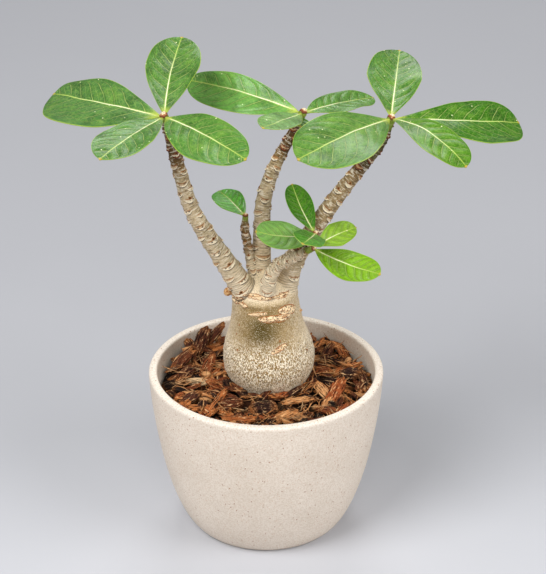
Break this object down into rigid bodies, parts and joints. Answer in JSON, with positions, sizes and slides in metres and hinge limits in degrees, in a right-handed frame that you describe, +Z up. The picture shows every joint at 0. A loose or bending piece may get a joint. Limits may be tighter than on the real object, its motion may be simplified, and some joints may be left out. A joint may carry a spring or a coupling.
{
  "type": "potted desert rose adenium",
  "caption": "Young desert rose with a swollen base, bare ringed stems and tufts of rounded leathery leaves, in a round matt stoneware pot dressed with bark chips.",
  "frame": {"origin": "middle of the pot's flat underside", "axes": "+Z up along the pot's axis, -Y towards the front, +X to the right seen from the front"},
  "size_m": [0.2548, 0.1391, 0.2703],
  "materials": {
    "stoneware": "matt pale stoneware, finely speckled",
    "soil": "dark potting soil",
    "bark_chips": "rough red-brown pine bark",
    "stem_bark": "grey-tan living bark, pale corky scars",
    "leaf": "smooth leathery green, satin"
  },
  "bodies": {
    "root": {"pot": "stoneware", "potting_soil": "soil", "bark_mulch": "bark_chips", "adenium_plant": "stem_bark", "leaf_left_outer": "leaf", "leaf_left_back": "leaf", "leaf_left_near": "leaf", "leaf_left_inner": "leaf", "leaf_middle_outer": "leaf", "leaf_middle_near": "leaf", "leaf_middle_young": "leaf", "leaf_middle_inner": "leaf", "leaf_right_near": "leaf", "leaf_right_back": "leaf", "leaf_right_outer": "leaf", "leaf_right_low": "leaf", "leaf_low_top": "leaf", "leaf_low_left": "leaf", "leaf_low_centre": "leaf", "leaf_low_right": "leaf", "leaf_low_front": "leaf", "leaf_twig": "leaf"}
  },
  "joints": []
}
